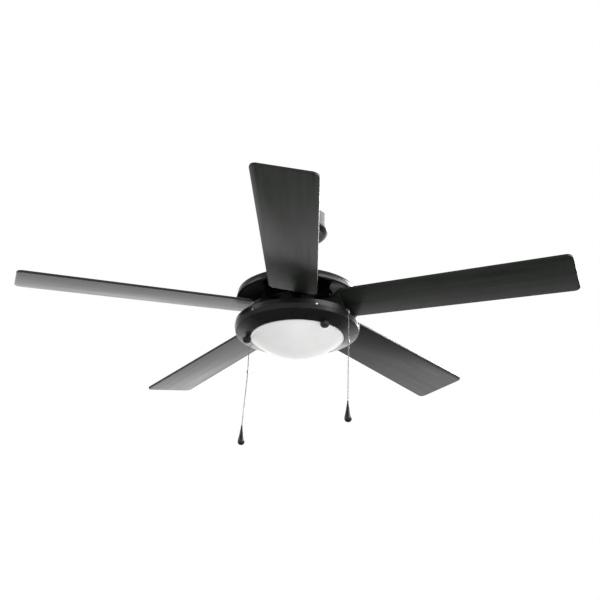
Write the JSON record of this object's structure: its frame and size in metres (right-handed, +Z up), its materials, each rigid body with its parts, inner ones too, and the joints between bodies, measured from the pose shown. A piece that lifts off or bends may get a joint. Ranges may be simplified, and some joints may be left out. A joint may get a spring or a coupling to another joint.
{
  "type": "ceiling fan with light",
  "caption": "Ceiling fan on a short downrod with flat pitched blades, a shallow drum motor housing, a frosted bowl light and pull-chain switches.",
  "frame": {"origin": "on the spin axis, in the ceiling plane that the hanger bracket bolts to", "axes": "+Z up along the spin axis; +Y along the bracket's row of ceiling slots; blade 1 points along azimuth -91.7 degrees"},
  "size_m": [1.2885, 1.2423, 0.5591],
  "materials": {
    "black_steel": "satin black powder coat",
    "zinc_steel": "bright zinc",
    "dark_screw": "black oxide",
    "cast_aluminium": "as cast",
    "lamination_steel": "varnished laminations",
    "copper_winding": "enamelled copper wire",
    "bearing_steel": "ground",
    "blade_laminate": "matt black laminate on board",
    "black_plastic": "moulded",
    "white_enamel": "gloss white enamel",
    "porcelain": "glazed white",
    "bulb_glass": "frosted",
    "bowl_glass": "acid-frosted white",
    "brass_plate": "plain",
    "rubber": "moulded",
    "chain_steel": "nickel plate",
    "pendant_lacquer": "gloss black",
    "wire_sheath": "PVC sheath"
  },
  "bodies": {
    "ceiling": {"ceiling_bracket": "zinc_steel", "canopy": "black_steel", "canopy_screws": "zinc_steel"},
    "fan": {"hanger_ball": "black_plastic", "ball_pin": "zinc_steel", "downrod": "black_steel", "motor_coupling": "cast_aluminium", "coupling_pin": "zinc_steel", "coupling_clip": "zinc_steel", "coupling_cover": "black_steel", "motor_housing": "black_steel", "housing_screws": "dark_screw", "motor_shaft": "zinc_steel", "stator_core": "lamination_steel", "stator_windings": "copper_winding", "light_kit_adapter": "cast_aluminium", "mounting_plate": "black_steel", "plate_screws": "zinc_steel", "light_kit_pan": "black_steel", "pan_screws": "dark_screw", "speed_switch": "black_plastic", "light_switch": "black_plastic", "chain_outlets": "chain_steel", "reverse_switch": "black_plastic", "run_capacitor": "black_plastic", "lead_wires": "wire_sheath", "reflector": "white_enamel", "lamp_holders": "porcelain", "bulb_caps": "brass_plate", "bulbs": "bulb_glass", "glass_gasket": "rubber", "glass_bowl": "bowl_glass"},
    "rotor": {"rotor_lower_bell": "cast_aluminium", "rotor_upper_bell": "cast_aluminium", "rotor_cage": "lamination_steel", "motor_bearings": "bearing_steel", "bell_screws": "zinc_steel", "blade_screws": "dark_screw", "blade_iron_1": "black_steel", "blade_iron_2": "black_steel", "blade_iron_3": "black_steel", "blade_iron_4": "black_steel", "blade_iron_5": "black_steel", "blade_1": "blade_laminate", "blade_2": "blade_laminate", "blade_3": "blade_laminate", "blade_4": "blade_laminate", "blade_5": "blade_laminate"},
    "reverse_button": {"reverse_button": "black_plastic"},
    "glass_knob_1": {"glass_knob_1": "black_plastic"},
    "glass_knob_2": {"glass_knob_2": "black_plastic"},
    "light_switch_pull": {"light_switch_chain": "chain_steel", "light_connector": "chain_steel"},
    "light_pull": {"light_pull_chain": "chain_steel", "light_pendant": "pendant_lacquer"},
    "speed_switch_pull": {"speed_switch_chain": "chain_steel", "speed_connector": "chain_steel"},
    "speed_pull": {"speed_pull_chain": "chain_steel", "speed_pendant": "pendant_lacquer"}
  },
  "joints": [
    {"name": "hanger_swivel", "type": "hinge", "parent": "ceiling", "child": "fan", "pos_m": [0, 0, -0.022], "axis": [1, 0, 0], "range_deg": [-12, 12]},
    {"name": "fan_spin", "type": "hinge", "parent": "fan", "child": "rotor", "pos_m": [0, 0, -0.247], "axis": [0, 0, 1], "continuous": true},
    {"name": "reverse_slide", "type": "slide", "parent": "fan", "child": "reverse_button", "axis": [-0.9732, 0.23, 0], "range_m": [0, 0.005]},
    {"name": "knob_1_turn", "type": "hinge", "parent": "fan", "child": "glass_knob_1", "pos_m": [0.06306, -0.10092, -0.327], "axis": [0, 0, -1], "range_deg": [0, 720]},
    {"name": "knob_2_turn", "type": "hinge", "parent": "fan", "child": "glass_knob_2", "pos_m": [-0.11893, -0.00415, -0.327], "axis": [0, 0, -1], "range_deg": [0, 720]},
    {"name": "light_switch_pull", "type": "slide", "parent": "fan", "child": "light_switch_pull", "axis": [0, 0, -1], "range_m": [0, 0.006], "stiffness_N_per_m": 800},
    {"name": "light_pull_swing", "type": "hinge", "parent": "light_switch_pull", "child": "light_pull", "pos_m": [0.11725, -0.099, -0.3694], "axis": [0.766, -0.6428, 0], "range_deg": [-45, 45]},
    {"name": "speed_switch_pull", "type": "slide", "parent": "fan", "child": "speed_switch_pull", "axis": [0, 0, -1], "range_m": [0, 0.006], "stiffness_N_per_m": 800},
    {"name": "speed_pull_swing", "type": "hinge", "parent": "speed_switch_pull", "child": "speed_pull", "pos_m": [-0.12005, 0.099, -0.3694], "axis": [-0.766, 0.6428, 0], "range_deg": [-45, 45]}
  ]
}
